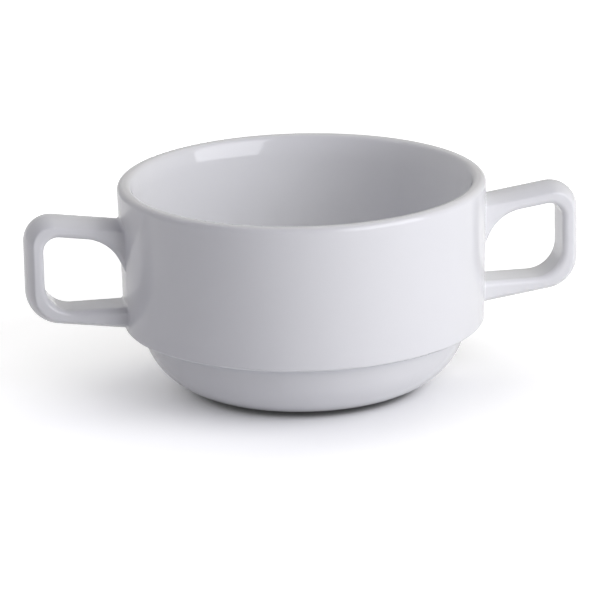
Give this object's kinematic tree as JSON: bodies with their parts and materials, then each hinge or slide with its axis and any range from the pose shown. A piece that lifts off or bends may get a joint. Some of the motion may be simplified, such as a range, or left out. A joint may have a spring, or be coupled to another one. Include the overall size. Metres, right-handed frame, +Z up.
{
  "type": "bouillon cup",
  "caption": "Stacking soup cup in white glazed porcelain: a round bowl with a stepped foot and a square loop handle on opposite sides.",
  "frame": {"origin": "middle of the foot ring on the standing plane, under the bowl's axis", "axes": "+Z up along the bowl's axis, +X through the middle of one handle, +Y level and square to both handles"},
  "size_m": [0.1584, 0.104, 0.06],
  "materials": {
    "glaze": "gloss white glaze"
  },
  "bodies": {
    "root": {"bouillon_cup": "glaze"}
  },
  "joints": []
}
